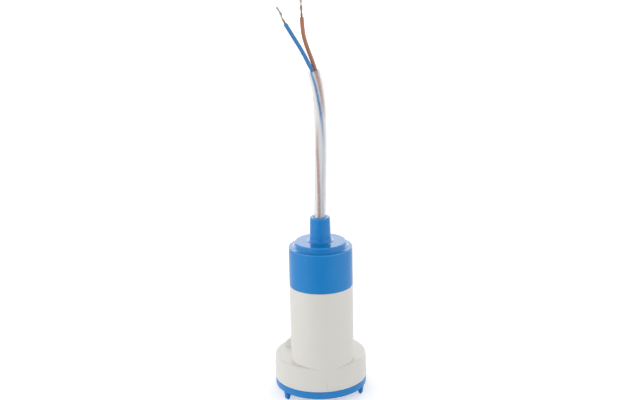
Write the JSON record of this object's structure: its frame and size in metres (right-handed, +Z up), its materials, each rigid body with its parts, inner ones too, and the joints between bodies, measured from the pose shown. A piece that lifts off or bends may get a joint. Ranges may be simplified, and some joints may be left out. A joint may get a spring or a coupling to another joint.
{
  "type": "submersible water pump",
  "caption": "Upright submersible tank pump: motor tube on a wider eccentric drum, blue cap with clear two-core cable, blue strainer base on feet, barbed hose spigot behind.",
  "frame": {"origin": "centre of the pump drum on the plane that the feet stand on", "axes": "+Z up along the tube, -Y the front where tube and drum are flush, the hose spigot at +Y"},
  "size_m": [0.056, 0.056, 0.2412],
  "materials": {
    "blue_abs": "moulded, satin gloss",
    "cream_abs": "moulded, fine satin",
    "black_rubber": "moulded, dull",
    "white_nylon": "moulded",
    "zinc_steel": "zinc plated sheet",
    "dark_nylon": "moulded",
    "bronze": "sintered, oiled",
    "ferrite": "ground ceramic magnet",
    "carbon": "pressed carbon",
    "copper": "bare and enamelled copper",
    "brass": "stamped",
    "shaft_steel": "ground",
    "core_steel": "stamped sheets",
    "impeller_acetal": "moulded",
    "clear_pvc": "extruded, clear",
    "blue_pvc": "extruded, satin",
    "brown_pvc": "extruded, satin",
    "tinned_copper": "twisted, tinned"
  },
  "bodies": {
    "pump": {"base_cover": "blue_abs", "base_o_ring": "black_rubber", "pump_housing": "cream_abs", "top_cap": "blue_abs", "cap_seal": "black_rubber", "cable_seal": "black_rubber", "cable_tie": "white_nylon", "shaft_seal": "black_rubber", "motor_can": "zinc_steel", "end_bell": "dark_nylon", "front_bearing": "bronze", "rear_bearing": "bronze", "magnets": "ferrite", "brushes": "carbon", "brush_springs": "copper", "terminals": "brass", "motor_screws": "zinc_steel", "cable_sheath": "clear_pvc", "blue_core": "blue_pvc", "brown_core": "brown_pvc", "blue_strands": "tinned_copper", "brown_strands": "tinned_copper"},
    "rotor": {"motor_shaft": "shaft_steel", "rotor_core": "core_steel", "rotor_windings": "copper", "commutator": "copper", "thrust_washers": "white_nylon", "impeller": "impeller_acetal"}
  },
  "joints": [
    {"name": "rotor_spin", "type": "hinge", "parent": "pump", "child": "rotor", "pos_m": [0, -0.00895, 0.045], "axis": [0, 0, 1], "continuous": true}
  ]
}
